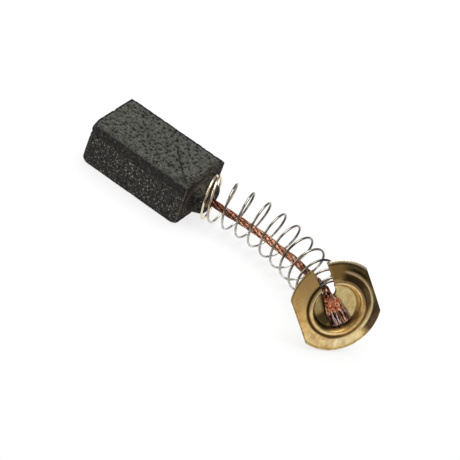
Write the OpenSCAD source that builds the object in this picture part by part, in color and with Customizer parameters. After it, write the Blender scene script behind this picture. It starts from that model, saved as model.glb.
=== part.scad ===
// Carbon brush for a small commutator motor, in millimetres: a pressed carbon block, a coil spring
// on the block's boss, a laid copper lead tamped into the block, and a stamped brass terminal that
// the lead's splayed end is welded to.
//
// The origin is the centre of the block's contact face. +X runs along the block towards the spring
// and +Z is up. The block lies on one of its wide faces, and the terminal's rim stands on the same
// surface, because the spring is loose and leans to one side.

/* [Carbon block] */
// Length of the block, from the contact face to the spring end
block_length = 18; // [12:0.5:26]
// Width of the block, across its wide faces
block_width = 10; // [8.5:0.5:14]
// Height of the block as it lies
block_height = 7.5; // [7:0.1:10]
// Radius of the long edge that keys the block in its holder
key_edge_radius = 0.9; // [0.3:0.1:1.6]
// Radius of the long edge below the key edge
guide_edge_radius = 0.2; // [0.1:0.1:1.2]
// Radius of the other two long edges
plain_edge_radius = 0.25; // [0.1:0.05:0.8]

/* [Spring boss and lead hole] */
// Diameter of the boss at its root
boss_root_diameter = 6.3; // [5:0.1:6.4]
// Diameter of the boss at its tip
boss_tip_diameter = 4.8; // [3.6:0.1:5]
// Height of the boss above the end of the block
boss_height = 2; // [1:0.1:2.4]
// Diameter of the blind hole that the lead is tamped into
lead_hole_diameter = 2.4; // [1.8:0.1:3]
// Depth of that hole, measured from the end of the block
lead_hole_depth = 5; // [3:0.5:9]
// Play between the tamped powder and the hole, and between the powder and the lead
tamping_play = 0.02; // [0.01:0.01:0.04]

/* [Spring] */
// Diameter of the spring's wire
wire_diameter = 0.36; // [0.3:0.02:0.46]
// Outside diameter of the coils
coil_diameter = 7.2; // [7:0.1:8]
// Open turns between the two closed ends
open_turns = 10.3; // [8:0.1:11.5]
// Closed turns at the block
block_end_turns = 1.42; // [1.2:0.02:1.7]
// Closed turns at the terminal
terminal_end_turns = 1.25; // [1:0.05:1.5]
// Gap between neighbouring turns where the spring is closed
closed_gap = 0.2; // [0.05:0.05:0.25]
// Sideways angle at which the spring leaves the block
spring_lean = 17; // [0:1:17]
// Upward angle at which the spring leaves the block
spring_rise = 7; // [0:1:7]

/* [Terminal] */
// Diameter of the stamped disc
terminal_diameter = 14.1; // [13:0.1:16]
// Distance across the disc's two flats
terminal_flats = 12; // [11:0.1:12.8]
// Thickness of the brass sheet
sheet_thickness = 0.4; // [0.3:0.05:0.6]
// Diameter of the flat floor of the pressed dish
dish_diameter = 6.4; // [6:0.1:6.8]
// Depth of the dish below the plane of the rim
dish_depth = 0.35; // [0.2:0.05:0.6]
// Diameter of the crest of the bead round the dish
bead_diameter = 7.7; // [7.4:0.1:8.2]
// Height of the bead above the foot of the flange
bead_height = 0.15; // [0.05:0.05:0.3]
// Diameter of the crease where the bead meets the flange
crease_diameter = 9; // [8.6:0.1:9.6]
// Height of the crease above the plane of the rim, which makes the flange a shallow cone
flange_rise = 0.4; // [0.1:0.05:0.6]
// Width of the slot that the lead comes through
slot_width = 2.1; // [1.8:0.1:2.6]
// Sideways place of the slot's middle line
slot_offset = -0.2; // [-0.3:0.05:0.3]
// Distance from the disc's centre to the slot's round end
slot_end = 1.5; // [1.2:0.1:1.6]

/* [Place of the terminal] */
// Distance from the end of the block to the terminal's centre, along the block
terminal_reach = 28.7; // [27:0.1:32]
// Distance that the terminal's centre stands to the side
terminal_side = 6.7; // [5:0.1:9]
// Angle that the terminal is turned to the side
terminal_turn = 42.5; // [35:0.5:50]
// Angle that the terminal leans back from upright
terminal_tilt = 21; // [10:1:25]
// Angle of the flats round the terminal's own axis
flats_roll = 30; // [10:1:50]

/* [Lead] */
// Diameter of one strand
strand_diameter = 0.35; // [0.3:0.01:0.36]
// Gap between neighbouring strands
strand_gap = 0.02; // [0.01:0.01:0.05]
// Length in which a strand goes once round the rope
lay_length = 12; // [8:1:20]
// Width of the splayed, welded end at its tip
splay_width = 3.3; // [2:0.1:3.4]
// Thickness of the splayed end at its tip
splay_thickness = 0.4; // [0.3:0.05:0.6]
// Distance from the disc's centre to the tips of the splayed wires
splay_reach = 3.05; // [2.6:0.05:3.15]
// How far the tips lie to one side of the lead's own line
splay_drift = 0.45; // [0:0.05:0.6]

/* [Hidden] */

arc_step = 15;
wire_sides = 8;
rings_per_turn = 20;
strand_sides = 6;
strand_ring_pitch = 0.62;
curve_samples = 120;
weld_rings = 14;
weld_ridges = 9;
weld_ridge_share = 0.06;
spring_play = 0.03;
weld_play = 0.02;

// Edges and turning round things
turned_faces = 96;

// The terminal's own axes: across the flats, towards the slot, and out of its outer face
terminal_normal = [cos(terminal_tilt) * cos(-terminal_turn), cos(terminal_tilt) * sin(-terminal_turn),
    sin(terminal_tilt)];
terminal_level = [-sin(-terminal_turn), cos(-terminal_turn), 0];
terminal_climb = cross(terminal_normal, terminal_level);
terminal_across = cos(flats_roll) * terminal_level + sin(flats_roll) * terminal_climb;
terminal_slotward = -sin(flats_roll) * terminal_level + cos(flats_roll) * terminal_climb;

// The rim rests on the surface that the block lies on, on its round part or on a flat's corner
rim_radius = terminal_diameter / 2;
half_flats = terminal_flats / 2;
half_flat_length = sqrt(rim_radius ^ 2 - half_flats ^ 2);
rim_drop = rim_radius * sin(flats_roll) <= half_flats
    ? rim_radius
    : half_flats * sin(flats_roll) + half_flat_length * cos(flats_roll);
terminal_centre = [block_length + terminal_reach, -terminal_side,
    -block_height / 2 + rim_drop * cos(terminal_tilt) + sheet_thickness * sin(terminal_tilt)];

function terminal_point(p) = terminal_centre + p.x * terminal_across + p.y * terminal_slotward
    + p.z * terminal_normal;

// The spring: a helix round a curved axis, from the end of the block to the back of the dish
coil_radius = (coil_diameter - wire_diameter) / 2;
closed_pitch = wire_diameter + closed_gap;
dish_back = -dish_depth - sheet_thickness;
axis_start = [block_length, 0, 0];
axis_start_direction = [cos(spring_rise) * cos(spring_lean), cos(spring_rise) * sin(spring_lean),
    sin(spring_rise)];
axis_end = terminal_point([0, 0, dish_back - wire_diameter / 2 - spring_play]);
axis_start_pull = terminal_reach * 0.44;
axis_end_pull = terminal_reach * 0.33;
axis_poles = [axis_start, axis_start + axis_start_pull * axis_start_direction,
    axis_end - axis_end_pull * terminal_normal, axis_end];
// The lowest part of the first coil bears on the end of the block, on the side it leans to
first_turn_height = wire_diameter / 2 + spring_play
    + coil_radius * sqrt(1 - axis_start_direction.x ^ 2);

function unit(v) = v / norm(v);
function bezier(p, t) = (1 - t) ^ 3 * p[0] + 3 * (1 - t) ^ 2 * t * p[1]
    + 3 * (1 - t) * t ^ 2 * p[2] + t ^ 3 * p[3];
function bezier_slope(p, t) = unit((1 - t) ^ 2 * (p[1] - p[0]) + 2 * (1 - t) * t * (p[2] - p[1])
    + t ^ 2 * (p[3] - p[2]));

// A table of [length so far, parameter] along a list of points that are evenly spaced in parameter
function length_table(points, span) = [
    for (i = 0, run = 0; i < len(points); i = i + 1,
         run = run + (i < len(points) ? norm(points[i] - points[i - 1]) : 0))
        [run, span * i / (len(points) - 1)]
];

axis_points = [for (i = [0:curve_samples]) bezier(axis_poles, i / curve_samples)];
axis_table = length_table(axis_points, 1);
axis_length = axis_table[curve_samples][0];
spring_turns = block_end_turns + open_turns + terminal_end_turns;
open_pitch = (axis_length - first_turn_height - closed_pitch * (block_end_turns
    + terminal_end_turns)) / open_turns;

// How far along the axis the wire is after a number of turns
function wire_station(turn) = first_turn_height
    + closed_pitch * min(turn, block_end_turns)
    + open_pitch * max(0, min(turn - block_end_turns, open_turns))
    + closed_pitch * max(0, turn - block_end_turns - open_turns);

// The wire starts a little past the bottom, and climbs on the side that the terminal leans to
wire_start_angle = 360 * (1 - block_end_turns);

function wire_centre(turn) =
    let (t = lookup(wire_station(turn), axis_table),
         slope = bezier_slope(axis_poles, t),
         up = unit([0, 0, 1] - slope.z * slope),
         side = cross(up, slope),
         angle = wire_start_angle + 360 * turn)
    bezier(axis_poles, t) + coil_radius * (cos(angle) * up - sin(angle) * side);

// The lead's route: first from the end of the block, then on the terminal (across, slotward, out)
route_from_block = [[-4.9, 0, 0], [-2.5, 0, 0], [0, 0, 0], [2.3, 0, 0], [4.6, 0.12, -0.08],
    [8, 0.6, -0.3], [12, 0.5, -0.15], [15, 0.05, 0], [18, -0.55, 0.4], [21, -1.7, 0.8]];
route_on_terminal = [[-0.5, 2.5, -3], [-0.5, 2.5, -1.6], [-0.55, 2.4, -0.5], [-0.55, 1.9, 0.15],
    [-0.55, 1.4, 0.45]];
route = concat([for (p = route_from_block) [block_length, 0, 0] + p],
    [for (p = route_on_terminal) terminal_point(p)]);
route_last = len(route) - 1;
function route_pole(i) = i < 0 ? 2 * route[0] - route[1]
    : i > route_last ? 2 * route[route_last] - route[route_last - 1] : route[i];
function route_point(t) =
    let (i = min(floor(t), route_last - 1), u = t - i,
         a = route_pole(i - 1), b = route_pole(i), c = route_pole(i + 1), d = route_pole(i + 2))
    0.5 * ((2 * b) + (c - a) * u + (2 * a - 5 * b + 4 * c - d) * u ^ 2
        + (3 * b - a - 3 * c + d) * u ^ 3);
route_points = [for (i = [0:curve_samples]) route_point(route_last * i / curve_samples)];
route_table = length_table(route_points, route_last);
route_length = route_table[curve_samples][0];

strand_ring_count = ceil(route_length / strand_ring_pitch);
strand_pitch_radius = strand_diameter + strand_gap;
rope_diameter = 2 * strand_pitch_radius + strand_diameter;

function route_slope(t) = unit(route_point(min(t + 0.01, route_last))
    - route_point(max(t - 0.01, 0)));

// Axes across the lead at a station: the first follows the terminal's own across direction
function lead_frame(station) =
    let (t = lookup(station, route_table),
         slope = route_slope(t),
         first = unit(terminal_across - (terminal_across * slope) * slope))
    [route_point(t), first, cross(slope, first)];

function ring(frame, radius, sides, shift = [0, 0]) =
    [for (j = [0:sides - 1])
        let (angle = 360 * j / sides)
        frame[0] + (shift.x + radius * cos(angle)) * frame[1]
            + (shift.y + radius * sin(angle)) * frame[2]];

// A closed solid through rings of points that all have the same number of points
function middle_of(ring) = [for (p = ring) 1] * ring / len(ring);
module skin(rings) {
    sides = len(rings[0]);
    last = len(rings) - 1;
    first_middle = len(rings) * sides;
    polyhedron(
        points = concat([for (r = rings) each r], [middle_of(rings[0]), middle_of(rings[last])]),
        faces = [for (j = [0:sides - 1])
            let (k = (j + 1) % sides)
            each concat(
                [[first_middle, j, k], [first_middle + 1, last * sides + k, last * sides + j]],
                [for (i = [0:last - 1])
                    each [[i * sides + j, (i + 1) * sides + j, (i + 1) * sides + k],
                          [i * sides + j, (i + 1) * sides + k, i * sides + k]]])]);
}

function corner(centre, radius, from) =
    [for (a = [0:arc_step:90]) centre + radius * [cos(from + a), sin(from + a)]];

// Cross-section of the block, width along X and height along Y
module block_section() {
    w = block_width / 2;
    h = block_height / 2;
    k = key_edge_radius;
    g = guide_edge_radius;
    p = plain_edge_radius;
    polygon(concat(
        corner([w - p, h - p], p, 0),
        corner([-w + k, h - k], k, 90),
        corner([-w + g, -h + g], g, 180),
        corner([w - p, -h + p], p, 270)));
}

module carbon_block() {
    color([0.2, 0.2, 0.19])
    difference() {
        union() {
            rotate([90, 0, 90])
                linear_extrude(block_length) block_section();
            translate([block_length, 0, 0])
                rotate([0, 90, 0])
                cylinder(d1 = boss_root_diameter, d2 = boss_tip_diameter, h = boss_height,
                    $fn = turned_faces);
        }
        translate([block_length - lead_hole_depth, 0, 0])
            rotate([0, 90, 0])
            cylinder(d = lead_hole_diameter, h = lead_hole_depth + boss_height + 1,
                $fn = turned_faces);
    }
}

// Copper powder rammed round the lead, up to the tip of the boss
module tamping_plug() {
    color([0.45, 0.3, 0.22])
    translate([block_length - lead_hole_depth, 0, 0])
        rotate([0, 90, 0])
        difference() {
            cylinder(d = lead_hole_diameter - 2 * tamping_play, h = lead_hole_depth + boss_height,
                $fn = turned_faces);
            translate([0, 0, -1])
                cylinder(d = rope_diameter + 2 * tamping_play,
                    h = lead_hole_depth + boss_height + 2, $fn = turned_faces);
        }
}

module compression_spring() {
    steps = ceil(spring_turns * rings_per_turn);
    color([0.75, 0.75, 0.74])
    skin([for (i = [0:steps])
        let (turn = spring_turns * i / steps,
             centre = wire_centre(turn),
             slope = unit(wire_centre(turn + 0.01) - wire_centre(turn - 0.01)),
             first = unit(cross(slope, [0, 1, 0.01])))
        ring([centre, first, cross(slope, first)], wire_diameter / 2, wire_sides)]);
}

// Height of the terminal's outer face at a distance from its centre
function eased(a, b, share) = a + (b - a) * (1 - cos(180 * share)) / 2;
function face_height(r) =
    r <= dish_diameter / 2 ? -dish_depth
    : r <= bead_diameter / 2
    ? eased(-dish_depth, flange_rise + bead_height,
        (r - dish_diameter / 2) / (bead_diameter / 2 - dish_diameter / 2))
    : r <= crease_diameter / 2
    ? eased(flange_rise + bead_height, flange_rise,
        (r - bead_diameter / 2) / (crease_diameter / 2 - bead_diameter / 2))
    : flange_rise * (rim_radius - r) / (rim_radius - crease_diameter / 2);

module terminal_plate() {
    steps = 6;
    stations = concat(
        [0],
        [for (i = [0:steps]) (dish_diameter + (bead_diameter - dish_diameter) * i / steps) / 2],
        [for (i = [1:steps]) (bead_diameter + (crease_diameter - bead_diameter) * i / steps) / 2],
        [rim_radius]);
    color([0.78, 0.64, 0.36])
    translate(terminal_centre)
        rotate([0, 90 - terminal_tilt, -terminal_turn])
        rotate([0, 0, 90 + flats_roll])
        difference() {
            rotate_extrude($fn = turned_faces)
                polygon(concat(
                    [for (r = stations) [r, face_height(r)]],
                    [for (i = [len(stations) - 1:-1:0])
                        [stations[i], face_height(stations[i]) - sheet_thickness]]));
            for (side = [-1, 1])
                translate([side * (half_flats + rim_radius), 0, 0])
                    cube([2 * rim_radius, 2 * rim_radius, 2 * rim_radius], center = true);
            translate([slot_offset, slot_end + slot_width / 2, -rim_radius])
                cylinder(d = slot_width, h = 2 * rim_radius, $fn = turned_faces);
            translate([slot_offset - slot_width / 2, slot_end + slot_width / 2, -rim_radius])
                cube([slot_width, 2 * rim_radius, 2 * rim_radius]);
        }
}

// One strand of the rope: strand 1 is straight in the middle, the other six are laid round it
module lead_strand(number) {
    color([0.72, 0.42, 0.28])
    skin([for (i = [0:strand_ring_count])
        let (station = route_length * i / strand_ring_count,
             angle = 60 * number + 360 * station / lay_length,
             offset = number == 1 ? 0 : strand_pitch_radius)
        ring(lead_frame(station), strand_diameter / 2, strand_sides,
            offset * [cos(angle), sin(angle)])]);
}

// The rope's end, flattened into a fan of wires and welded to the floor of the dish. The first face
// lies against the cut ends of the strands, and the tips follow the foot of the dish's wall.
module lead_weld() {
    last = len(route_on_terminal) - 1;
    end_slope = unit(route_on_terminal[last] - route_on_terminal[last - 1]);
    start = route_on_terminal[last] + weld_play * end_slope;
    lowest = -dish_depth + weld_play;
    fullness = 1 + weld_ridge_share;
    color([0.75, 0.45, 0.28])
    skin([for (i = [0:weld_rings])
        let (share = i / weld_rings,
             half_width = eased(rope_diameter, splay_width, share ^ 0.35) / 2,
             half_height = eased(rope_diameter, splay_thickness, share) / 2,
             drop = start.z - lowest - rope_diameter / 2 * fullness,
             middle = lowest + half_height * fullness + drop * (1 - share) ^ 4)
        [for (j = [0:4 * weld_ridges - 1])
            let (angle = 90 * j / weld_ridges,
                 ridge = 1 + weld_ridge_share * share * cos(angle * 2 * weld_ridges),
                 across = start.x + splay_drift * share + ridge * half_width * cos(angle),
                 lift = ridge * half_height * sin(angle),
                 tip = -sqrt(splay_reach ^ 2 - across ^ 2))
            terminal_point([across,
                start.y + (tip - start.y) * share - lift * (end_slope.z / end_slope.y) * (1 - share),
                middle + lift])]]);
}

carbon_block();
tamping_plug();
compression_spring();
terminal_plate();
lead_weld();
lead_strand(1);  // lead_strand_1
lead_strand(2);  // lead_strand_2
lead_strand(3);  // lead_strand_3
lead_strand(4);  // lead_strand_4
lead_strand(5);  // lead_strand_5
lead_strand(6);  // lead_strand_6
lead_strand(7);  // lead_strand_7
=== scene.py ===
from math import acos, cos, degrees, dist, radians, sin, sqrt

import bpy
import numpy as np
from mathutils import Matrix, Vector, geometry
from numpy.linalg import norm


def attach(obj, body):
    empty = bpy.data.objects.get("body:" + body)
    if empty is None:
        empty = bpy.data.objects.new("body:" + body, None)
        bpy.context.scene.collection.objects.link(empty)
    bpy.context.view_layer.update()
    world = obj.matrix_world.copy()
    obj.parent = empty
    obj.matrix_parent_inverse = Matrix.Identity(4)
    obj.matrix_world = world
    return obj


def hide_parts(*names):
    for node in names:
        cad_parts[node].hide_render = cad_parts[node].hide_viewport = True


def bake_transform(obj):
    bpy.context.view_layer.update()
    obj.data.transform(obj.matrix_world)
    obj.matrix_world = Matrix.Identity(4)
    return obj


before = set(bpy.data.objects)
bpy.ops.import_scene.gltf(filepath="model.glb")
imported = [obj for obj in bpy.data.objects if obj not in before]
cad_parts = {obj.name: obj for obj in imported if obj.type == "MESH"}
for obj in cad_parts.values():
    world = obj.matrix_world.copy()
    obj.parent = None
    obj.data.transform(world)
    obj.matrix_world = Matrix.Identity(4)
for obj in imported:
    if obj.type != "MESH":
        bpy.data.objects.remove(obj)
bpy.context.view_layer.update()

MM = 0.001

# ---- Sizes of the part, as in the solids
BLOCK_LENGTH, BLOCK_WIDTH, BLOCK_HEIGHT = 18.0, 10.0, 7.5
KEY_R, GUIDE_R, PLAIN_R = 0.9, 0.2, 0.25
BOSS_ROOT, BOSS_TIP, BOSS_HEIGHT = 6.3, 4.8, 2.0
LEAD_HOLE = 2.4

WIRE, COIL = 0.36, 7.2
OPEN_TURNS, BLOCK_TURNS, TERMINAL_TURNS = 10.3, 1.42, 1.25
CLOSED_GAP = 0.2
LEAN, RISE = 17.0, 7.0
START_PULL, END_PULL = 0.44, 0.33
SPRING_PLAY = 0.03

DISC, FLATS, SHEET = 14.1, 12.0, 0.4
DISH, DISH_DEPTH = 6.4, 0.35
BEAD, BEAD_HEIGHT = 7.7, 0.15
CREASE, FLANGE_RISE = 9.0, 0.4
SLOT_WIDTH, SLOT_OFFSET, SLOT_END = 2.1, -0.2, 1.5
REACH, SIDE, TURN, TILT, ROLL = 28.7, 6.7, 42.5, 21.0, 30.0

STRAND, STRAND_GAP, LAY = 0.35, 0.02, 12.0
ROUTE_FROM_BLOCK = [
    (-4.9, 0, 0), (-2.5, 0, 0), (0, 0, 0), (2.3, 0, 0), (4.6, 0.12, -0.08), (8, 0.6, -0.3), (12, 0.5, -0.15),
    (15, 0.05, 0), (18, -0.55, 0.4), (21, -1.7, 0.8)]
ROUTE_ON_TERMINAL = [
    (-0.5, 2.5, -3), (-0.5, 2.5, -1.6), (-0.55, 2.4, -0.5), (-0.55, 1.9, 0.15), (-0.55, 1.4, 0.45)]
SPLAY_REACH = 3.05

HALF_WIDTH, HALF_HEIGHT = BLOCK_WIDTH / 2, BLOCK_HEIGHT / 2
BOSS_END = BLOCK_LENGTH + BOSS_HEIGHT


def cos_sin(angle):
    return cos(radians(angle)), sin(radians(angle))


def all_round(count):
    """Angles in radians, evenly round a circle."""
    return np.linspace(0, 2 * np.pi, count, endpoint=False)


def unit(a):
    return a / norm(a, axis=-1, keepdims=True)


def eased(a, b, share):
    """From a to b along half a cosine wave."""
    share = np.clip(share, 0, 1)
    return a + (b - a) * (1 - np.cos(np.pi * share)) / 2


def ramp(x, a, b):
    """0 up to a, 1 from b on, and smooth between."""
    t = np.clip((x - a) / (b - a), 0, 1)
    return t * t * (3 - 2 * t)


def bell(x, middle, width):
    return np.exp(-((x - middle) / width) ** 2)


def new_object(name, data):
    obj = bpy.data.objects.new(name, data)
    bpy.context.scene.collection.objects.link(obj)
    return obj


# ---- Camera
AIM = Vector((24.54, 0.31, -2.72))
CAMERA_DISTANCE, CAMERA_AZIMUTH, CAMERA_ELEVATION, CAMERA_ROLL = 364.0, 21.07, 38.19, 21.66
LENS_MM, SENSOR_MM = 190.5, 36


def make_camera():
    data = bpy.data.cameras.new("camera")
    data.lens, data.sensor_width = LENS_MM, SENSOR_MM
    data.clip_start, data.clip_end = 0.01, 20
    turned = Matrix.Identity(4)
    for angle, axis in ((CAMERA_AZIMUTH, "Z"), (90 - CAMERA_ELEVATION, "X"), (CAMERA_ROLL, "Z")):
        turned = turned @ Matrix.Rotation(radians(angle), 4, axis)
    place = (AIM + CAMERA_DISTANCE * turned.col[2].xyz) * MM
    camera = new_object("camera", data)
    camera.matrix_world = Matrix.Translation(place) @ turned
    bpy.context.scene.camera = camera
    bpy.context.scene.view_settings.view_transform = "Standard"


make_camera()

# ---- The terminal's own axes: across its flats, towards its slot, and out of its outer face
(cos_tilt, sin_tilt), (cos_turn, sin_turn), (cos_roll, sin_roll) = map(cos_sin, (TILT, TURN, ROLL))
normal = np.array([cos_tilt * cos_turn, -cos_tilt * sin_turn, sin_tilt])
level = np.array([sin_turn, cos_turn, 0.0])
climb = np.cross(normal, level)
across = cos_roll * level + sin_roll * climb
slotward = -sin_roll * level + cos_roll * climb
centre = np.array([BLOCK_LENGTH + REACH, -SIDE, -HALF_HEIGHT + DISC / 2 * cos_tilt + SHEET * sin_tilt])


def on_terminal(p):
    p = np.asarray(p, float)
    return centre + p[..., 0:1] * across + p[..., 1:2] * slotward + p[..., 2:3] * normal


def in_terminal_axes(points):
    away = points - centre
    return np.stack([away @ across, away @ slotward, away @ normal], 1)


def face_height(r):
    """Height of the disc's outer face: the dish, the bead, and the flange that falls to the rim."""
    a, b, c, rim = DISH / 2, BEAD / 2, CREASE / 2, DISC / 2
    crest = FLANGE_RISE + BEAD_HEIGHT
    wall = eased(-DISH_DEPTH, crest, (r - a) / (b - a))
    fall = eased(crest, FLANGE_RISE, (r - b) / (c - b))
    flange = FLANGE_RISE * (rim - r) / (rim - c)
    return np.select([r <= a, r <= b, r <= c], [-DISH_DEPTH, wall, fall], flange)


# ---- Mesh helpers
WIRE_END_LIP = 0.3
WIRE_END_BULGE = 0.18
NOISE_TABLE = 4096
NOISE_PRIMES = np.array([73856093, 19349663, 83492791])


def new_mesh(name, points, faces, material):
    mesh = bpy.data.meshes.new(name)
    mesh.from_pydata((np.asarray(points, float) * MM).tolist(), [], faces)
    mesh.update()
    mesh.polygons.foreach_set("use_smooth", [True] * len(mesh.polygons))
    mesh.materials.append(material)
    return new_object(name, mesh)


def paint(obj, name, values):
    """One number or one linear colour for each vertex."""
    colour = np.ones((len(values), 4), np.float32)
    colour[:, :3] = values.reshape(len(values), -1)
    layer = obj.data.color_attributes.new(name, "FLOAT_COLOR", "POINT")
    layer.data.foreach_set("color", colour.ravel())


def blended(colours, rgb, amount):
    """The colours with this one laid over them, by an amount from 0 to 1 for each."""
    return colours * (1 - amount[:, None]) + np.array(rgb) * amount[:, None]


def rings_to_faces(count, sides, start=0):
    """Quads between rings of points that follow each other."""
    i = np.arange(count - 1)[:, None]
    j = np.arange(sides)[None, :]
    k = (j + 1) % sides
    quads = np.stack([i * sides + j, i * sides + k, (i + 1) * sides + k, (i + 1) * sides + j], axis=-1)
    return (quads.reshape(-1, 4) + start).tolist()


def frames_along(path):
    """A direction and two axes across it at each point, turning as little as they can."""
    slope = unit(np.gradient(path, axis=0))
    side = np.cross(slope[0], [0.0, 0.0, 1.0])
    sides = np.zeros_like(path)
    for i in range(len(path)):
        side = sides[i] = unit(side - (side @ slope[i]) * slope[i])
    return slope, sides, np.cross(slope, sides)


def tube(path, radius, sides, start=0):
    """Points and faces of a wire along a path, with its two ends closed and broken."""
    slope, a, b = (np.vstack([m[0], m, m[-1]])[:, None, :] for m in frames_along(path))
    path = np.vstack([path[0], path, path[-1]])[:, None, :]
    path[0] -= slope[0] * radius * WIRE_END_BULGE
    path[-1] += slope[-1] * radius * WIRE_END_BULGE
    radii = np.full((len(path), 1, 1), float(radius))
    radii[[0, -1]] *= 1 - WIRE_END_LIP
    angle = all_round(sides)[None, :, None]
    points = path + radii * (np.cos(angle) * a + np.sin(angle) * b)
    faces = rings_to_faces(len(path), sides, start)
    last = start + (len(path) - 1) * sides
    faces += [list(range(start, start + sides))[::-1], list(range(last, last + sides))]
    return points.reshape(-1, 3), faces


def many_tubes(paths, radius, sides):
    points, faces = [], []
    for path in paths:
        more_points, more_faces = tube(path, radius, sides, sum(map(len, points)))
        points.append(more_points)
        faces += more_faces
    return np.vstack(points), faces


def surface_noise(points, size, seed, octaves=3):
    """Smooth random numbers about 0, from a lattice of random values."""
    total = np.zeros(len(points))
    for octave in range(octaves):
        table = np.random.default_rng(seed + octave).random(NOISE_TABLE) - 0.5
        place = points / (size / 2 ** octave)
        base = np.floor(place).astype(int)
        t = ramp(place - base, 0, 1)
        value = np.zeros(len(points))
        for corner in np.ndindex(2, 2, 2):
            key = np.bitwise_xor.reduce((base + corner) * NOISE_PRIMES, axis=1) & (NOISE_TABLE - 1)
            value += np.prod(np.where(corner, t, 1 - t), axis=1) * table[key]
        total += value * 0.5 ** octave
    return total / (1 - 0.5 ** octaves)


# ---- Materials
# The colour sockets of a mix node, which shares their names with its other sockets
MIX_FACTOR, MIX_A, MIX_B, MIX_RESULT = 0, 6, 7, 2


def add_node(tree, kind, inputs=None, **settings):
    """A new node. An input is either a value or another node's output."""
    node = tree.nodes.new(kind)
    for key, value in settings.items():
        setattr(node, key, value)
    for key, value in (inputs or {}).items():
        if isinstance(value, bpy.types.NodeSocket):
            tree.links.new(value, node.inputs[key])
        else:
            node.inputs[key].default_value = value
    return node


class Nodes:
    """A short way to write a material's nodes. Sizes are in millimetres."""

    def __init__(self, name, metallic, roughness):
        self.material = bpy.data.materials.new(name)
        self.material.use_nodes = True
        self.tree = self.material.node_tree
        self.shader = self.tree.nodes["Principled BSDF"]
        self.shader.inputs["Metallic"].default_value = metallic
        self.shader.inputs["Roughness"].default_value = roughness
        self.coordinates = self.add("ShaderNodeTexCoord").outputs["Object"]

    def add(self, kind, inputs=None, **settings):
        return add_node(self.tree, kind, inputs, **settings)

    def noise(self, size, detail=2.0, rough=0.5):
        inputs = {"Vector": self.coordinates, "Scale": 1 / (size * MM), "Detail": detail, "Roughness": rough}
        return self.add("ShaderNodeTexNoise", inputs).outputs["Fac"]

    def spots(self, size):
        inputs = {"Vector": self.coordinates, "Scale": 1 / (size * MM)}
        return self.add("ShaderNodeTexVoronoi", inputs).outputs["Distance"]

    def span(self, value, a, b, low=0.0, high=1.0):
        inputs = {"Value": value, "From Min": a, "From Max": b, "To Min": low, "To Max": high}
        return self.add("ShaderNodeMapRange", inputs, interpolation_type="SMOOTHSTEP").outputs["Result"]

    def mix(self, factor, a, b, how="MIX"):
        a, b = (v if isinstance(v, bpy.types.NodeSocket) else (*v, 1.0) for v in (a, b))
        inputs = {MIX_FACTOR: factor, MIX_A: a, MIX_B: b}
        return self.add("ShaderNodeMix", inputs, data_type="RGBA", blend_type=how).outputs[MIX_RESULT]

    def product(self, a, b):
        return self.add("ShaderNodeMath", {0: a, 1: b}, operation="MULTIPLY").outputs[0]

    def painted(self, name):
        return self.add("ShaderNodeVertexColor", layer_name=name).outputs["Color"]

    def finish(self, colour, bumps, depth, strength, roughness=None):
        bump = self.add("ShaderNodeBump", {"Height": bumps, "Distance": depth * MM, "Strength": strength})
        self.tree.links.new(bump.outputs["Normal"], self.shader.inputs["Normal"])
        self.tree.links.new(colour, self.shader.inputs["Base Color"])
        if roughness is not None:
            self.tree.links.new(roughness, self.shader.inputs["Roughness"])
        return self.material


def carbon_material():
    m = Nodes("pressed_carbon", 0.0, 0.7)
    m.shader.inputs["Specular IOR Level"].default_value = 0.1
    grain = m.noise(0.34, 3.0, 0.7)
    base = m.mix(m.span(grain, 0.36, 0.54, 0.8, 0.0), m.painted("tone"), (0.01, 0.01, 0.009))
    base = m.mix(m.span(grain, 0.54, 0.72, 0.0, 0.4), base, (0.2, 0.2, 0.175))
    base = m.mix(m.span(m.noise(1.5), 0.4, 0.7, 0.0, 0.3), base, (0.03, 0.028, 0.024))
    # Painted shade in the pits and scratches
    base = m.mix(m.painted("hollow_shade"), base, (0.007, 0.007, 0.006))
    # Dark speckles, and the bright grains of the mix
    speckles = m.product(m.span(m.noise(0.24, 2.0, 0.6), 0.36, 0.5, 0.9, 0.0), m.painted("grains"))
    base = m.mix(speckles, base, (0.005, 0.005, 0.005))
    bright = m.product(m.span(m.spots(0.3), 0.26, 0.46, 1.0, 0.0), m.span(m.noise(0.42, 1.0), 0.38, 0.5))
    fleck = m.mix(m.span(m.noise(0.5, 1.0), 0.44, 0.68), (0.1, 0.094, 0.085), (0.62, 0.61, 0.56))
    base = m.mix(m.product(bright, m.painted("grains")), base, fleck)
    return m.finish(base, grain, 0.04, 0.8, m.span(grain, 0.3, 0.7, 0.85, 0.6))


def steel_material():
    m = Nodes("drawn_steel", 1.0, 0.2)
    streaks = m.noise(0.5)
    base = m.mix(m.span(streaks, 0.35, 0.65), (0.42, 0.4, 0.37), (0.74, 0.71, 0.65))
    # A warm tint, and a painted warm sheen on the coils' upper sides
    base = m.mix(m.painted("warm_tint_and_sheen"), base, (0.93, 0.8, 0.58))
    # Painted shade and dark reflections, with a film of oil and dust
    base = m.mix(m.painted("film_and_shade"), base, (0.028, 0.025, 0.022))
    return m.finish(base, m.noise(0.08), 0.002, 0.3, m.span(streaks, 0.35, 0.65, 0.17, 0.1))


def copper_material(name, streak_size, coloured, crevice_shade, matt, glossy):
    m = Nodes(name, 1.0, 0.35)
    streaks = m.noise(streak_size, 2.0, 0.6)
    # Painted shade in the crevices
    base = m.mix(m.painted("crevice_shade"), coloured(m, streaks), crevice_shade)
    return m.finish(base, m.noise(0.07, 1.0), 0.004, 0.6, m.span(streaks, 0.3, 0.7, matt, glossy))


def lead_copper():
    def coloured(m, streaks):
        base = m.mix(m.span(streaks, 0.35, 0.65), (0.29, 0.105, 0.06), (0.98, 0.57, 0.36))
        return m.mix(m.painted("tarnish"), base, (0.15, 0.045, 0.032))

    return copper_material("lead_copper", 0.35, coloured, (0.012, 0.005, 0.004), 0.45, 0.25)


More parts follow.
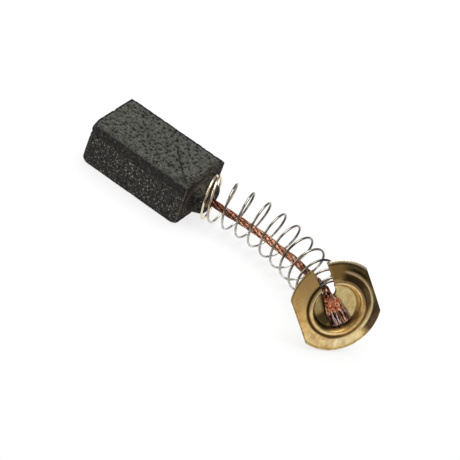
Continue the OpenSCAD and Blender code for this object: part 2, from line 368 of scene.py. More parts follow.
def painted_copper(name):
    def coloured(m, streaks):
        return m.mix(m.span(streaks, 0.35, 0.6, 0.8, 0.0), m.painted("tone"), (0.55, 0.42, 0.4), "MULTIPLY")

    return copper_material(name, 0.2, coloured, (0.01, 0.005, 0.005), 0.42, 0.24)


def brass_material():
    m = Nodes("stamped_brass", 1.0, 0.36)
    blotches = m.noise(1.1, 3.0, 0.6)
    grain = m.noise(0.14, 2.0, 0.6)
    # Stains, with painted reflections, highlights and shade
    base = m.mix(m.span(blotches, 0.35, 0.7, 0.0, 0.7), m.painted("stains_and_painted_light"), (0.78, 0.62, 0.45), "MULTIPLY")
    base = m.mix(m.span(grain, 0.35, 0.65, 0.0, 0.6), base, (0.74, 0.7, 0.62), "MULTIPLY")
    return m.finish(base, grain, 0.006, 0.5, m.span(blotches, 0.3, 0.7, 0.3, 0.44))


def powder_material():
    m = Nodes("rammed_powder", 0.4, 0.7)
    grain = m.noise(0.12, 2.0, 0.6)
    base = m.mix(m.span(grain, 0.35, 0.65), (0.05, 0.03, 0.022), (0.3, 0.16, 0.1))
    return m.finish(base, grain, 0.04, 0.8)


# ---- The carbon block. Its corners are far top, near top (the key), near bottom and far bottom
BLOCK_STEP = 0.11
CORNER_POINTS = 11
CORNERS = [(1, 1, PLAIN_R), (-1, 1, KEY_R), (-1, -1, GUIDE_R), (1, -1, PLAIN_R)]
KEY_CORNER = 1
# How much each corner's (y, z) radii grow by wear, at the contact end and at the spring end
CONTACT_WEAR = [(0.2, 0.2), (0.5, -0.05), (0.95, 0.95), (0.4, 0.4)]
SPRING_WEAR = [(0.05, 0.05), (0.25, 0.25), (0.95, 0.95), (0.4, 0.4)]
KEY_FLATTENED = 0.75
WEAR_REACH = 1.15
WEAR_HALF = 9
BROKEN_EDGE = 0.16
LIP_ANGLES = [5, 30, 55, 80]
BODY_RINGS = 164
PIT_PITCH, PIT_SHARE, PIT_SPREAD = 0.52, 0.7, 0.15
STRAY_PITS = 420

# The scratches on the top: a line of (x, y), its width and its strength
SCRATCHES = [([(11.2, 1.55), (13.05, -0.36), (15.1, -2.42), (17.2, -4.3)], 0.16, 1.0),
             ([(5.2, 3.1), (7.4, -1.2), (9.2, -4.2)], 0.1, 0.45)]
SCRATCH_DEPTH, CHIP_DEPTH = 0.05, 0.22

TOP_TONE = (0.084, 0.087, 0.074)
# The side's and the spring end's tones and the side's shade are painted shade; the boss's upper part gets
# painted light
SIDE_TONE_SHADED, SIDE_SHADE = (0.04, 0.036, 0.032), (0.024, 0.023, 0.021)
SPRING_END_TONE_SHADED, BOSS_TONE, BOSS_TOP_PAINTED_LIGHT = (0.03, 0.02, 0.017), (0.022, 0.018, 0.015), (0.085, 0.078, 0.058)
DARKER_TOP_END, RUBBED_AND_HIGHLIGHT = (0.02, 0.018, 0.016), (0.22, 0.2, 0.17)
# Painted shade: thin dark lines along the top's far edge and its edge at the contact end
FAR_EDGE_SHADE, CONTACT_EDGE_SHADE = (0.005, 0.005, 0.006), (0.005, 0.005, 0.005)


def block_outline(inset=0.0, worn=0.0, contact_end=True):
    """Points (y, z) round the block, the same number for every inset and wear."""
    arcs = []
    for number, (sign_y, sign_z, radius) in enumerate(CORNERS):
        radii = radius + worn * np.array((CONTACT_WEAR if contact_end else SPRING_WEAR)[number])
        middle = np.array([sign_y * (HALF_WIDTH - radii[0]), sign_z * (HALF_HEIGHT - radii[1])])
        a = np.radians(90 * number + np.linspace(0, 90, CORNER_POINTS))
        bow = np.stack([np.cos(a), np.sin(a)], 1)
        if contact_end and number == KEY_CORNER:
            chord = bow[0] + (bow[-1] - bow[0]) * np.linspace(0, 1, CORNER_POINTS)[:, None]
            bow = bow + (chord - bow) * KEY_FLATTENED * worn
        arcs.append(middle + np.maximum(radii - inset, 0.02) * bow)
    points = []
    for number, arc in enumerate(arcs):
        following = (number + 1) % 4
        straight = (BLOCK_HEIGHT if number % 2 else BLOCK_WIDTH) - CORNERS[number][2] - CORNERS[following][2]
        count = round(straight / BLOCK_STEP)
        share = np.arange(1, count)[:, None] / count
        points += [arc, arc[-1] * (1 - share) + arcs[following][0] * share]
    return np.vstack(points)


def wear_at(x):
    return max(0.0, 1 - min(x, BLOCK_LENGTH - x) / WEAR_REACH) ** 2


def block_rings():
    """Rings of points: over the contact face, along the block, down to the boss and into its hole."""
    outline = block_outline()
    bearing = np.arctan2(outline[:, 1], outline[:, 0])
    circle = np.stack([np.cos(bearing), np.sin(bearing)], 1)
    lip = [(BROKEN_EDGE * (1 - cos(a)), BROKEN_EDGE * (1 - sin(a))) for a in np.radians(LIP_ANGLES)]
    root, tip, hole = BOSS_ROOT / 2, BOSS_TIP / 2, LEAD_HOLE / 2
    fall = (root - tip) / BOSS_HEIGHT
    contact_face, spring_face = (block_outline(BROKEN_EDGE, 1.0, end) for end in (True, False))
    rings = [(0.0, contact_face * share) for share in (0.004, *np.linspace(0.04, 0.975, 36))]
    rings += [(x, block_outline(inset, wear_at(x))) for x, inset in lip]
    rings += [(x, block_outline(0.0, wear_at(x), x < WEAR_HALF))
              for x in np.linspace(BROKEN_EDGE, BLOCK_LENGTH - BROKEN_EDGE, BODY_RINGS)]
    rings += [(BLOCK_LENGTH - x, block_outline(inset, wear_at(x), False)) for x, inset in reversed(lip)]
    rings += [(BLOCK_LENGTH, spring_face * (1 - share) + circle * (root + 0.12) * share)
              for share in np.linspace(0, 1, 30)[1:]]
    # The boss, as (height, radius): a small fillet, its taper, its broken edge, its end, and the lead's hole
    boss = [(height, root + 0.04 - 0.4 * height) for height in (0.02, 0.1)]
    boss += [(height, root - fall * height) for height in np.linspace(0.2, BOSS_HEIGHT - 0.12, 16)]
    boss += [(BOSS_HEIGHT - 0.05, tip - 0.03), (BOSS_HEIGHT, tip - 0.12)]
    boss += [(BOSS_HEIGHT, radius) for radius in np.linspace(tip - 0.22, hole + 0.06, 9)]
    boss += [(BOSS_HEIGHT - 0.04, hole + 0.01), (BOSS_HEIGHT - 0.5, hole)]
    rings += [(BLOCK_LENGTH + height, circle * radius) for height, radius in boss]
    return [np.column_stack([np.full(len(yz), x), yz]) for x, yz in rings]


def distance_to_line(points, line):
    best = np.full(len(points), np.inf)
    for a, b in zip(line[:-1], line[1:]):
        t = np.clip(((points - a) @ (b - a)) / ((b - a) @ (b - a)), 0, 1)
        best = np.minimum(best, norm(points - (a + t[:, None] * (b - a)), axis=1))
    return best


def pit_list(points):
    """Places, sizes and depths of the pits: close together on the top, fewer on the other faces."""
    rng = np.random.default_rng(5)
    pits = []
    for x in np.arange(0.3, BLOCK_LENGTH, PIT_PITCH):
        for y in np.arange(-HALF_WIDTH + 0.6, HALF_WIDTH, PIT_PITCH):
            if rng.random() < PIT_SHARE:
                size = 0.13 + 0.2 * rng.random() ** 2
                at = x + rng.normal(0, PIT_SPREAD), y + rng.normal(0, PIT_SPREAD), HALF_HEIGHT
                pits.append((*at, size, size * 0.3))
    for index in rng.integers(0, len(points), STRAY_PITS):
        pits.append((*(points[index] + rng.normal(0, 0.05, 3)), rng.uniform(0.1, 0.24), rng.uniform(0.02, 0.06)))
    return pits


def hollow_out(points):
    """How deep each point lies below the plain surface, and how dark the painted shade in the hollow is there.
    """
    depth = 0.01 * surface_noise(points, 0.3, 3) + 0.03 * surface_noise(points, 2.2, 9, 2)
    hollow_shade = np.zeros(len(points))
    for *place, size, deep in pit_list(points):
        near = (np.abs(points - place) < 2 * size).all(axis=1)
        dent = np.exp(-1.6 * (norm(points[near] - place, axis=1) / size) ** 2)
        depth[near] -= deep * dent
        hollow_shade[near] = np.maximum(hollow_shade[near], np.minimum(1.5 * dent * min(1.0, deep / 0.06), 1))
    for line, width, strength in SCRATCHES:
        line = np.column_stack([line, np.full(len(line), HALF_HEIGHT)])
        cut = strength * bell(distance_to_line(points, line), 0, width)
        depth -= SCRATCH_DEPTH * cut
        hollow_shade = np.maximum(hollow_shade, cut)
    return depth, np.clip(hollow_shade, 0, 1)


def paint_block(obj, points, outward, to_end):
    """The tone of each face, with painted light and shade, and where the bright grains of the mix show."""
    x, y, z = points.T
    on_top = ramp(outward[:, 2], 0.75, 0.95)
    on_side = ramp(-outward[:, 1], 0.75, 0.95)
    on_spring_end = ramp(outward[:, 0], 0.3, 0.8) * (x > BLOCK_LENGTH - 0.5)
    on_boss = 1.0 * (x > BLOCK_LENGTH + 0.05)

    rough_band = bell(z, -0.5, 2.2) * ramp(x, 0.4, 1.6) * (1 - ramp(x, 13.0, 16.5))
    clusters = 0.5 + 0.5 * surface_noise(points, 1.1, 51, 2)
    grains = on_side * (0.5 + 0.5 * rough_band * ramp(clusters, 0.3, 0.8)) * (1 - ramp(z, 1.2, 2.1))
    paint(obj, "grains", np.clip(grains + 0.07 * on_top, 0, 1))

    ragged_x = x + 0.35 * surface_noise(points, 1.0, 77, 2)
    upper_edge = ramp(z, HALF_HEIGHT - 0.8, HALF_HEIGHT - 0.5)
    tone = np.ones((len(points), 3)) * TOP_TONE
    # Painted shade: the side darker than the top and darker still towards its upper edge, and the spring end
    # darker; painted light on the boss's upper part
    for rgb, amount in (
            (SIDE_TONE_SHADED, on_side),
            (SIDE_SHADE, on_side * ramp(z, 1.0, 2.2)),
            (SPRING_END_TONE_SHADED, on_spring_end),
            (BOSS_TONE, on_boss),
            (BOSS_TOP_PAINTED_LIGHT, on_boss * ramp(z, 0.8, 2.2)),
            # Darker at the top's spring end, and in a spot near its near corner there
            (DARKER_TOP_END, 0.8 * on_top * ramp(ragged_x, 17.0, 17.6)),
            (DARKER_TOP_END, 0.8 * on_top * np.exp(-((x - 16.6) ** 2 + (y + 4.1) ** 2) / 0.9)),
            # Painted shade along the top's far edge and its edge at the contact end
            (FAR_EDGE_SHADE, upper_edge * ramp(y, HALF_WIDTH - 0.6, HALF_WIDTH - 0.44)),
            (CONTACT_EDGE_SHADE, upper_edge * (1 - ramp(x, 0.3, 0.46)))):
        tone = blended(tone, rgb, amount)
    # Painted highlights: two bright rings round the boss, and the block's edges at the spring end, which are
    # also rubbed
    off_boss = np.hypot(y, z) - BOSS_ROOT / 2
    boss_ring_highlights = (bell(off_boss, 0.22, 0.09) + bell(off_boss, 0.75, 0.08)) * on_spring_end
    rubbed_edge_highlight = ramp(1 - to_end / 0.2, 0, 1) * (x > WEAR_HALF) * (
        0.8 * ramp(1 - (HALF_WIDTH - np.abs(y)) / 0.3, 0, 1)
        + 0.2 * ramp(1 - (HALF_HEIGHT - np.abs(z)) / 0.3, 0, 1))
    paint(obj, "tone", blended(tone, RUBBED_AND_HIGHLIGHT, np.clip(0.7 * boss_ring_highlights + rubbed_edge_highlight, 0, 1)))


def build_block():
    rings = block_rings()
    sides = len(rings[0])
    points = np.vstack([*rings, [0.0, 0.0, 0.0], [BOSS_END - 0.5, 0.0, 0.0]])
    faces = rings_to_faces(len(rings), sides)
    contact_middle, hole_middle = len(points) - 2, len(points) - 1
    last = (len(rings) - 1) * sides
    for j in range(sides):
        k = (j + 1) % sides
        faces.append([contact_middle, k, j])
        faces.append([hole_middle, last + j, last + k])
    obj = new_mesh("block_body", points, faces, carbon_material())
    outward = np.zeros(len(points) * 3)
    obj.data.vertices.foreach_get("normal", outward)
    outward = outward.reshape(-1, 3)

    # The pits and scratches, with painted shade in them
    depth, hollow_shade = hollow_out(points)
    paint(obj, "hollow_shade", hollow_shade)
    # Small chips along the edges of both ends
    x, y, z = points.T
    to_end = np.minimum(x, np.abs(x - BLOCK_LENGTH))
    to_edge = np.minimum(np.abs(np.abs(y) - HALF_WIDTH), np.abs(np.abs(z) - HALF_HEIGHT))
    chips = np.clip(surface_noise(points, 0.7, 21, 2) - 0.22, 0, 1)
    depth -= CHIP_DEPTH * chips * (1 - ramp(to_end + to_edge, 0.05, 0.45))
    paint_block(obj, points, outward, to_end)
    moved = points + outward * depth[:, None]
    obj.data.vertices.foreach_set("co", (moved * MM).astype(np.float32).ravel())
    obj.data.update()
    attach(obj, "brush")
    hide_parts("carbon_block")


build_block()


# ---- The spring: a helix round a curved axis, from the end of the block to the back of the dish
RINGS_PER_TURN, WIRE_SIDES = 60, 16

coil_radius = (COIL - WIRE) / 2
(cos_rise, sin_rise), (cos_lean, sin_lean) = map(cos_sin, (RISE, LEAN))
axis_direction = np.array([cos_rise * cos_lean, cos_rise * sin_lean, sin_rise])
axis_start = np.array([BLOCK_LENGTH, 0.0, 0.0])
axis_end = on_terminal([0, 0, -DISH_DEPTH - SHEET - WIRE / 2 - SPRING_PLAY])
poles = [axis_start, axis_start + REACH * START_PULL * axis_direction, axis_end - REACH * END_PULL * normal,
         axis_end]


def bezier(t):
    t = t[..., None]
    return ((1 - t) ** 3 * poles[0] + 3 * (1 - t) ** 2 * t * poles[1] + 3 * (1 - t) * t ** 2 * poles[2]
            + t ** 3 * poles[3])


def running_length(points):
    return np.concatenate([[0], np.cumsum(norm(np.diff(points, axis=0), axis=1))])


axis_t = np.linspace(0, 1, 400)
axis_run = running_length(bezier(axis_t))
first_height = WIRE / 2 + SPRING_PLAY + coil_radius * sqrt(1 - axis_direction[0] ** 2)
closed_pitch = WIRE + CLOSED_GAP
spring_turns = BLOCK_TURNS + OPEN_TURNS + TERMINAL_TURNS
open_pitch = (axis_run[-1] - first_height - closed_pitch * (BLOCK_TURNS + TERMINAL_TURNS)) / OPEN_TURNS


def wire_centre(turn):
    station = (first_height + closed_pitch * np.minimum(turn, BLOCK_TURNS)
               + open_pitch * np.clip(turn - BLOCK_TURNS, 0, OPEN_TURNS)
               + closed_pitch * np.maximum(0, turn - BLOCK_TURNS - OPEN_TURNS))
    t = np.interp(station, axis_run, axis_t)
    slope = unit(bezier(t + 1e-5) - bezier(t - 1e-5))
    upward = unit(np.array([0, 0, 1.0]) - slope[..., 2:3] * slope)
    side = np.cross(upward, slope)
    angle = (2 * np.pi * (1 - BLOCK_TURNS) + 2 * np.pi * turn)[..., None]
    return bezier(t) + coil_radius * (np.cos(angle) * upward - np.sin(angle) * side)


def build_spring():
    path = wire_centre(np.linspace(0, spring_turns, int(spring_turns * RINGS_PER_TURN)))
    points, faces = tube(path, WIRE / 2, WIRE_SIDES)
    obj = new_mesh("spring_wire", points, faces, steel_material())
    # Painted shade and dark reflections above and inside the coils, with blotches of a dark film of oil and
    # dust. The turns at the block are clean and warm, and a painted warm sheen lies on the coils' upper sides
    axis = bezier(np.linspace(0, 1, 300))
    away = norm(points[:, None, :] - axis[None, :, :], axis=2)
    inside = 1 - ramp(away.min(1), coil_radius - 0.13, coil_radius + 0.06)
    height = (points[:, 2] - axis[away.argmin(1), 2]) / coil_radius
    worked = ramp(points[:, 0], 20.0, 22.5)
    film_and_shade = (0.15 + 0.85 * worked) * ramp(height, -0.6, 0.2) * (0.62 + 0.38 * inside)
    film_and_shade = film_and_shade + 0.35 * worked * ramp(surface_noise(points, 2.4, 17, 2), 0.05, 0.8)
    paint(obj, "film_and_shade", np.clip(film_and_shade, 0, 0.96))
    paint(obj, "warm_tint_and_sheen", np.clip(0.35 * ramp(height, -0.2, 0.7) + 0.9 * (1 - worked), 0, 1))
    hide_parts("compression_spring")
    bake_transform(obj)


build_spring()


# ---- The lead: seven strands of fine wires along one curved route, as in the solids
WIRES, FINE_WIRE, WIRE_LAY = 9, 0.094, 8.0
# The fine wires stand out a little further than the solid strands do
STRAND_RING = STRAND + STRAND_GAP + 0.04
WIRE_RING = (STRAND - FINE_WIRE) / 2 + 0.02
# The lead is made from just under the mouth of its hole
HIDDEN = BOSS_HEIGHT - ROUTE_FROM_BLOCK[0][0] - 0.6
# Tarnish by place along the block's axis, and by strand
TARNISH_X, TARNISH = [20, 24, 27, 34, 38, 44], [0.9, 0.65, 0.3, 0.22, 0.45, 0.6]
STRAND_TARNISH = (0.0, 0.1, -0.15, 0.2)

route = np.vstack([np.array(ROUTE_FROM_BLOCK) + [BLOCK_LENGTH, 0, 0], on_terminal(ROUTE_ON_TERMINAL)])
route_poles = np.vstack([2 * route[0] - route[1], route, 2 * route[-1] - route[-2]])
route_last = len(route) - 1


def route_point(t):
    t = np.clip(t, 0, route_last)
    i = np.minimum(np.floor(t).astype(int), route_last - 1)
    u = (t - i)[..., None]
    a, b, c, d = (route_poles[i + k] for k in range(4))
    return 0.5 * (2 * b + (c - a) * u + (2 * a - 5 * b + 4 * c - d) * u ** 2 + (3 * b - a - 3 * c + d) * u ** 3)


route_t = np.linspace(0, route_last, 1200)
route_run = running_length(route_point(route_t))
route_length = route_run[-1]


def strand_frame(number, station):
    """The centre line of one strand, and two axes across the lead."""
    t = np.interp(station, route_run, route_t)
    slope = unit(route_point(t + 0.01) - route_point(t - 0.01))
    a = unit(across - (slope @ across)[..., None] * slope)
    b = np.cross(slope, a)
    angle = (radians(60 * number) + 2 * np.pi * station / LAY)[:, None]
    offset = 0.0 if number == 1 else STRAND_RING
    return route_point(t) + offset * (np.cos(angle) * a + np.sin(angle) * b), a, b


def wire_paths(number, station):
    strand, a, b = strand_frame(number, station)
    turns = [(2 * np.pi * (wire / WIRES - station / WIRE_LAY) + number)[:, None] for wire in range(WIRES)]
    return strand, [strand + WIRE_RING * (np.cos(turn) * a + np.sin(turn) * b) for turn in turns]


def build_lead():
    """The seven strands. Returns the ends of all their wires."""
    stations = np.linspace(HIDDEN, route_length, 150)
    middle = route_point(np.interp(np.linspace(0, route_length, 700), route_run, route_t))
    copper = lead_copper()
    ends = []
    for number in range(1, 8):
        strand, paths = wire_paths(number, stations)
        ends += [path[-1] for path in paths]
        points, faces = many_tubes(paths, FINE_WIRE / 2, 6)
        core, core_faces = tube(strand, WIRE_RING - 0.01, 8, len(points))
        points = np.vstack([points, core])
        obj = new_mesh(f"lead_wires_{number}", points, faces + core_faces, copper)
        tarnish = np.interp(points[:, 0], TARNISH_X, TARNISH) + STRAND_TARNISH[number % 4]
        paint(obj, "tarnish", np.clip(tarnish + 0.3 * surface_noise(points, 1.1, 40 + number, 2), 0, 1))
        # In parts, because one table of all distances would be large
        off_route = np.concatenate([norm(some[:, None] - middle[None], axis=2).min(1)
                                    for some in np.array_split(points, 12)])
        # Painted shade between the strands, darker towards the lead's middle
        paint(obj, "crevice_shade", 0.97 * (1 - ramp(off_route, 0.36, 0.52)))
        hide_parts(f"lead_strand_{number}")
        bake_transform(obj)
    return np.array(ends)


wire_ends = build_lead()


# ---- The splayed and welded end of the lead
DISH_FLOOR = -DISH_DEPTH
# The fan's left and right sides, and how high it stands, by distance towards the slot
FAN_V = [-3.3, -2.9, -1.5, -0.5, 0.5, 1.5, 2.3, 2.6]
FAN_LEFT = [-1.62, -1.65, -1.7, -1.76, -1.72, -1.48, -1.36, -1.3]
FAN_RIGHT = [1.55, 1.5, 1.26, 1.02, 0.8, 0.38, -0.02, -0.1]
FAN_TOP = [-0.16, -0.12, 0.0, 0.14, 0.36, 0.62, 0.55, 0.5]
# Layers from the top down: clumps of wires, wires in each, place of the clumps, height, and brightness, which is
# painted shade on the lower layers
FAN_LAYERS = [(9, 3, 0.0, 1.0, 1.0), (7, 3, 0.3, 0.55, 0.35), (15, 1, 0.0, 0.1, 0.15)]
FAN_RINGS, FAN_SIDES = 44, 7
FAN_TONES = [(0.16, 0.055, 0.06), (0.2, 0.07, 0.07), (0.95, 0.62, 0.52), (0.15, 0.05, 0.05), (0.9, 0.66, 0.6),
             (0.62, 0.26, 0.16), (1.0, 0.72, 0.58), (0.85, 0.33, 0.14), (0.4, 0.26, 0.25)]
TIP_TONE, HOT_TONE = (1.0, 0.72, 0.6), (0.8, 0.3, 0.15)
WIRE_SHADES = [0.4, 0.75, 1.15]

DROPS, NECK_DROPS = 140, 30
DROP_RINGS, DROP_SIDES = 7, 12
# Tones of the drops, picked at random; the palest is a painted highlight
DROP_TONES_WITH_HIGHLIGHT = [(0.55, 0.14, 0.06), (1.0, 0.4, 0.18), (1.0, 0.74, 0.58), (0.16, 0.045, 0.025), (0.9, 0.28, 0.1)]


def fan_at(v, p):
    """Across and height, at a distance towards the slot and a share p of the fan's half width."""
    left, right = np.interp(v, FAN_V, FAN_LEFT), np.interp(v, FAN_V, FAN_RIGHT)
    return (left + right) / 2 + p * (right - left) / 2, np.interp(v, FAN_V, FAN_TOP)


def crowned(top, p, crown):
    """The fan's height, lower towards its sides."""
    return DISH_FLOOR + 0.1 + (top - DISH_FLOOR - 0.1) * (1 - crown * p * p)


def splayed_paths(ends, rng):
    """Paths of the splayed wires from the ends of the lead's wires to their tips, and their tones."""
    local = in_terminal_axes(ends)
    order = np.argsort(-local[:, 2])
    shares = np.linspace(0, 1, FAN_RINGS)
    to_u, to_w = ramp(shares, 0, 0.2), ramp(shares, 0, 0.25)
    paths, tones, at = [], [], 0
    for clumps, each, shift, lift, shade in FAN_LAYERS:
        members = order[at:at + clumps * each]
        members = members[np.argsort(local[members, 0])]
        at += clumps * each
        for clump in range(clumps):
            p = 2 * (clump + 0.5 + shift) / (clumps + shift) - 1 + rng.normal(0, 0.03)
            reach = SPLAY_REACH + 0.12 + rng.normal(0, 0.09)
            band = min(int((p + 1) / 2 * len(FAN_TONES)), len(FAN_TONES) - 1)
            for wire in range(each):
                start_u, start_v, start_w = local[members[clump * each + wire]]
                q = np.clip(p * 0.94 + (wire - (each - 1) / 2) * 0.026, -0.99, 0.99)
                tip_v = -sqrt(max((reach + rng.normal(0, 0.04)) ** 2 - (1.6 * q) ** 2, 1.0))
                v = start_v + (tip_v - start_v) * shares
                sway = 0.07 * ramp(shares, 0.35, 0.7) * np.sin(9 * shares + 2.3 * clump + 0.8 * wire)
                u, top = fan_at(v, np.clip(q + sway, -1, 1))
                u = start_u * (1 - to_u) + u * to_u
                end_w = DISH_FLOOR + 0.055 + (crowned(top, q, 0.45) - DISH_FLOOR - 0.06) * lift
                w = start_w * (1 - to_w) + end_w * to_w
                w = np.maximum(w + 0.03 * sin(clump * 2.1) * shares, DISH_FLOOR + 0.05)
                curl = 0.12 * np.clip((shares - 0.88) / 0.12, 0, 1) ** 2 * rng.uniform(-0.2, 1.2)
                paths.append(on_terminal(np.stack([u, v, w + curl], 1)))
                # The lower layers darker, as painted shade
                tones.append(np.array(FAN_TONES[band]) * shade * rng.choice(WIRE_SHADES))
    return paths, tones


def build_splay(ends, rng):
    paths, tones = splayed_paths(ends, rng)
    points, faces = many_tubes(paths, FINE_WIRE / 2 + 0.012, FAN_SIDES)
    obj = new_mesh("splayed_wires", points, faces, painted_copper("splay_copper"))
    _, v, w = in_terminal_axes(points).T
    tones = np.repeat(tones, len(points) // len(paths), axis=0)
    tones = tones * (0.5 + 0.9 * ramp(surface_noise(points, 0.5, 61, 2), -0.45, 0.4))[:, None]
    tones = blended(np.minimum(tones, 1.0), TIP_TONE, 0.4 * (1 - ramp(v, -2.95, -2.6)))
    tones = blended(tones, HOT_TONE, 0.75 * ramp(v, -1.3, -0.3))
    paint(obj, "tone", tones)
    _, top = fan_at(v, 0.0)
    # Painted shade on the fan's lower wires
    paint(obj, "crevice_shade", 0.97 * (1 - ramp(w, DISH_FLOOR + 0.06, (DISH_FLOOR + top) / 2 + 0.1)))
    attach(obj, "terminal")
    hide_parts("lead_weld")


def drop_shape():
    """Points and faces of a round drop of radius 1."""
    a = np.linspace(0, np.pi, DROP_RINGS + 2)[1:-1, None]
    b = all_round(DROP_SIDES)[None, :]
    points = np.stack([np.sin(a) * np.cos(b), np.sin(a) * np.sin(b), np.cos(a) + 0 * b], -1).reshape(-1, 3)
    upper, lower, last = len(points), len(points) + 1, len(points) - DROP_SIDES
    faces = [f[::-1] for f in rings_to_faces(DROP_RINGS, DROP_SIDES)]
    for j in range(DROP_SIDES):
        k = (j + 1) % DROP_SIDES
        faces += [[upper, j, k], [lower, last + k, last + j]]
    return np.vstack([points, (0, 0, 1), (0, 0, -1)]), faces


def build_weld(rng):
    """Drops of melted wire, run together where the lead begins to spread and at its neck."""
    drop, drop_faces = drop_shape()
    points, faces, tones, crevice_shades = [], [], [], []
    for number in range(DROPS + NECK_DROPS):
        v = rng.uniform(-0.7, 2.7) if number < DROPS else rng.uniform(1.6, 2.65)
        p = rng.uniform(-0.93, 0.93) if number < DROPS else rng.uniform(-1.15, -0.5)
        u, top = fan_at(v, p)
        ahead, _ = fan_at(v - 0.5, p)
        top = crowned(top, p, 0.4)
        length, width, height = rng.uniform(0.16, 0.42), rng.uniform(0.09, 0.2), rng.uniform(0.09, 0.17)
        w = top - rng.uniform(-0.06, 0.14) if v < 1.9 else rng.uniform(-0.15, 0.35)
        along = unit([ahead - u, -0.5, -0.1])
        sideways = unit(np.cross(along, [0, 0, 1]))
        over = np.cross(sideways, along)
        body = (np.array([u, v, max(w, DISH_FLOOR + 0.12)]) + drop[:, 2:3] * along * length
                + drop[:, 0:1] * sideways * width + drop[:, 1:2] * over * height)
        base = len(points) * len(drop)
        points.append(on_terminal(body))
        faces += [[k + base for k in f] for f in drop_faces]
        tone = np.array(DROP_TONES_WITH_HIGHLIGHT[rng.integers(len(DROP_TONES_WITH_HIGHLIGHT))])
        tone = tone * (0.75 + 0.25 * ramp(p, -0.8, 0)) * (1 - 0.6 * ramp(v, 1.3, 2.1))
        tones.append(np.tile(tone, (len(drop), 1)))
        # Painted shade on the drops' lower sides
        crevice_shades.append(1 - ramp(body[:, 2] - top, -0.16, 0.03))
    points = np.vstack(points)
    lumps = np.sign(surface_noise(points, 0.25, 71, 1)) * surface_noise(points, 0.25, 72, 1)
    obj = new_mesh("weld_drops", points + 0.03 * lumps[:, None] * normal, faces, painted_copper("weld_copper"))
    paint(obj, "tone", np.vstack(tones))
    paint(obj, "crevice_shade", 0.9 * np.concatenate(crevice_shades))
    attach(obj, "terminal")


splay_rng = np.random.default_rng(8)
build_splay(wire_ends, splay_rng)
build_weld(splay_rng)


# ---- The rammed powder round the lead
# Rings of the powder: radius, and distance out of the boss's end
POWDER_RINGS = [(LEAD_HOLE / 2, -0.3), (LEAD_HOLE / 2, -0.03), (1.12, 0.02), (1.0, 0.05), (0.85, 0.07),
                (0.7, 0.1), (0.6, 0.16), (0.5, 0.1), (0.3, 0.0), (0.02, -0.05)]
POWDER_SIDES = 72


def build_plug():
    angle = all_round(POWDER_SIDES)
    points = np.vstack([np.stack([BOSS_END + x + 0 * angle, radius * np.cos(angle), radius * np.sin(angle)], 1)
                        for radius, x in POWDER_RINGS])
    # Lumpy, apart from the two rings at the hole's wall
    lumps = 0.035 * surface_noise(points, 0.3, 88, 2)
    lumps[:2 * POWDER_SIDES] = 0
    points[:, 0] += lumps
    faces = rings_to_faces(len(POWDER_RINGS), POWDER_SIDES)
    faces.append(list(range(len(points) - POWDER_SIDES, len(points))))
    obj = new_mesh("rammed_powder", points, faces, powder_material())
    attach(obj, "brush")
    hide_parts("tamping_plug")


build_plug()


# ---- The stamped terminal
# The slot's right side stands in a little, its left mouth flares, and its mouth's corners are cut
SLOT_NARROWED, SLOT_FLARE, MOUTH_CUT, MOUTH_ANGLE = 0.08, 0.22, 0.08, 0.6
OUTLINE_STEP, SLOT_STEP = 0.12, 0.1
DISH_MIDDLE = np.array([0.0, -0.2])
# Rings of points over the face, and their spacing on the bead's slopes and elsewhere
FACE_RADII = np.concatenate([np.arange(*row) for row in (
    (0.25, 3.05, 0.25), (3.1, 4.62, 0.055), (4.72, 5.2, 0.12), (5.24, 5.6, 0.06), (5.7, 7.0, 0.14))])
SLOPE_RING, SLOPE_SPACING, FLAT_SPACING = (3.05, 4.7), 0.13, 0.2
SOFT_EDGE = 0.07
# The walls of the cut edge: inset, and depth below the outer face
EDGE_LAYERS = [(0.02, 0.018), (0.0, SOFT_EDGE), (0.0, SHEET - SOFT_EDGE), (0.025, SHEET - 0.02)]
CREST_RADIUS, CREST_HEIGHT = 5.42, 0.05
WAVE_HEIGHT = 0.03


def arc_points(x, y, r, a, b, step=OUTLINE_STEP):
    count = max(3, int(abs(radians(b - a)) * r / step))
    return [(x + r * cos(t), y + r * sin(t)) for t in np.radians(np.linspace(a, b, count + 1))]


def line_points(p, q):
    """Points between two others, without them."""
    return [*np.linspace(p, q, max(1, int(dist(p, q) / OUTLINE_STEP)) + 1)[1:-1]]


def terminal_outline():
    """The disc's edge with its two flats and its slot, as (across, slotward), turning left."""
    rim, half = DISC / 2, FLATS / 2
    left = SLOT_OFFSET - SLOT_WIDTH / 2
    right = SLOT_OFFSET + SLOT_WIDTH / 2 - SLOT_NARROWED
    slot_end = SLOT_END + SLOT_WIDTH / 2
    at_rim = (half, left - SLOT_FLARE, right)
    flat_angle, left_angle, right_angle = (degrees(acos(x / rim)) for x in at_rim)
    flat_end, left_top, right_top = (sqrt(rim ** 2 - x ** 2) for x in at_rim)
    left_mouth, right_mouth = (left - SLOT_FLARE, left_top - MOUTH_CUT), (right, right_top - MOUTH_CUT)
    # From the slot's left mouth round the left, the bottom and the right to the right mouth
    points = arc_points(0, 0, rim, left_angle + MOUTH_ANGLE, 180 - flat_angle)
    points += line_points(points[-1], (-half, -flat_end))
    points += arc_points(0, 0, rim, 180 + flat_angle, 360 - flat_angle)
    points += line_points(points[-1], (half, flat_end))
    points += arc_points(0, 0, rim, flat_angle, right_angle - MOUTH_ANGLE)
    points += [right_mouth, *line_points(right_mouth, (right, slot_end))]
    points += arc_points(SLOT_OFFSET, slot_end, SLOT_WIDTH / 2, 0, -180, SLOT_STEP)
    points += [*line_points((left, slot_end), left_mouth), left_mouth]
    return np.array(points)


